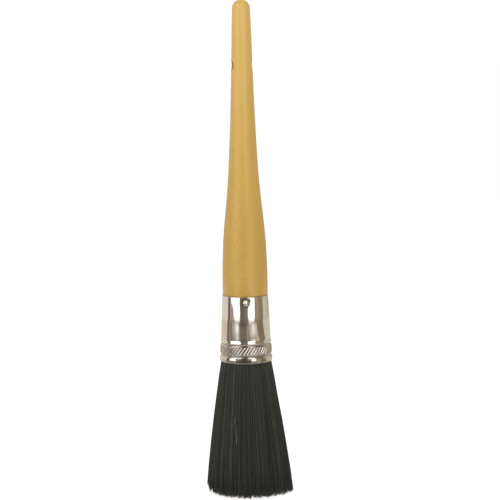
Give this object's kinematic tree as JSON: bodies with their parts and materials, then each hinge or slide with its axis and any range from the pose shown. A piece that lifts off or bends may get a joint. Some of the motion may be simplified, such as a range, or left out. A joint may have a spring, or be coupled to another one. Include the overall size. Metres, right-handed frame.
{
  "type": "round stencil brush",
  "caption": "Round stencil brush: turned wooden handle with a hanging hole, conical plated ferrule with an embossed band, and stiff dark bristles flaring to a flat round end.",
  "frame": {"origin": "centre of the flat bristle tips, on the brush's axis", "axes": "+Z along the brush's axis from the tips to the handle's end; the hanging hole runs along X; the nails face 10 degrees from -Y towards -X, and the opposite way"},
  "size_m": [0.0474, 0.0474, 0.2708],
  "materials": {
    "lacquered_wood": "clear gloss lacquer over fine, pale yellow-brown hardwood",
    "plated_steel": "bright nickel-plated sheet steel",
    "nail_steel": "plated steel, slightly dulled",
    "setting_resin": "hard amber resin",
    "bristle": "stiff dark grey-brown natural bristle"
  },
  "bodies": {
    "root": {"handle": "lacquered_wood", "ferrule": "plated_steel", "ferrule_nails": "nail_steel", "resin_plug": "setting_resin", "bristle_tuft": "bristle"}
  },
  "joints": []
}
